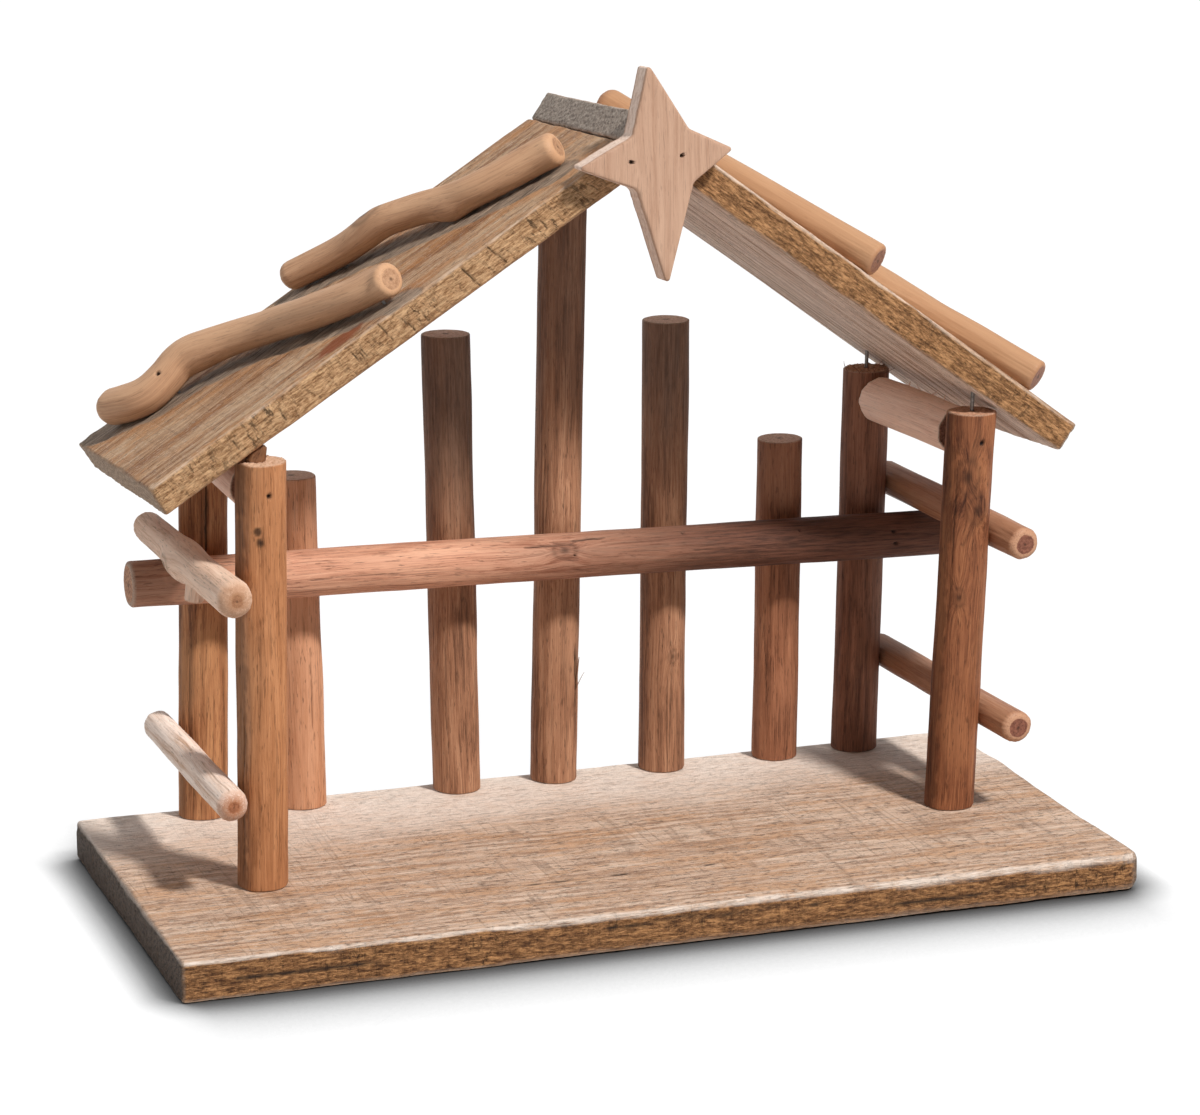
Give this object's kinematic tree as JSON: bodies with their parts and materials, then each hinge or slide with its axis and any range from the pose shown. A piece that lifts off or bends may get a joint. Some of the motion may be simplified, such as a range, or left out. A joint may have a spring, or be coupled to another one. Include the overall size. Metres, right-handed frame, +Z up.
{
  "type": "wooden nativity stable",
  "caption": "Rustic open-front wooden stable on a plank base: leaning round posts, a picket row with a rail, two plank roof slopes with diagonal branches, and a star at the ridge.",
  "frame": {"origin": "middle of the base board's underside, on the surface it stands on", "axes": "+X to the right seen from the open front, +Y to the back, +Z up"},
  "size_m": [0.4031, 0.2025, 0.3352],
  "materials": {
    "base_plank": "rough-sawn, pale grey-tan",
    "roof_plank": "weathered plank, golden sawn edges",
    "round_wood": "debarked dowel, reddish brown",
    "peeled_branch": "peeled and sanded branch, warm tan",
    "star_plank": "smooth sawn, pinkish tan",
    "nail_steel": "bare wire nail"
  },
  "bodies": {
    "root": {"base_board": "base_plank", "front_left_post": "round_wood", "front_right_post": "round_wood", "back_left_post": "round_wood", "back_right_post": "round_wood", "far_left_picket": "round_wood", "left_picket": "round_wood", "ridge_post": "round_wood", "right_picket": "round_wood", "far_right_picket": "round_wood", "rear_rail": "round_wood", "left_tie": "round_wood", "right_tie": "round_wood", "left_upper_side_rail": "peeled_branch", "left_lower_side_rail": "peeled_branch", "right_upper_side_rail": "peeled_branch", "right_lower_side_rail": "peeled_branch", "left_roof_board": "roof_plank", "right_roof_board": "roof_plank", "left_lower_branch": "peeled_branch", "left_upper_branch": "peeled_branch", "right_upper_branch": "peeled_branch", "right_lower_branch": "peeled_branch", "star": "star_plank", "base_nails": "nail_steel", "rail_brads": "nail_steel", "tie_brads": "nail_steel", "side_rail_brads": "nail_steel", "roof_pins": "nail_steel", "ridge_nails": "nail_steel", "branch_brads": "nail_steel", "star_brads": "nail_steel"}
  },
  "joints": []
}
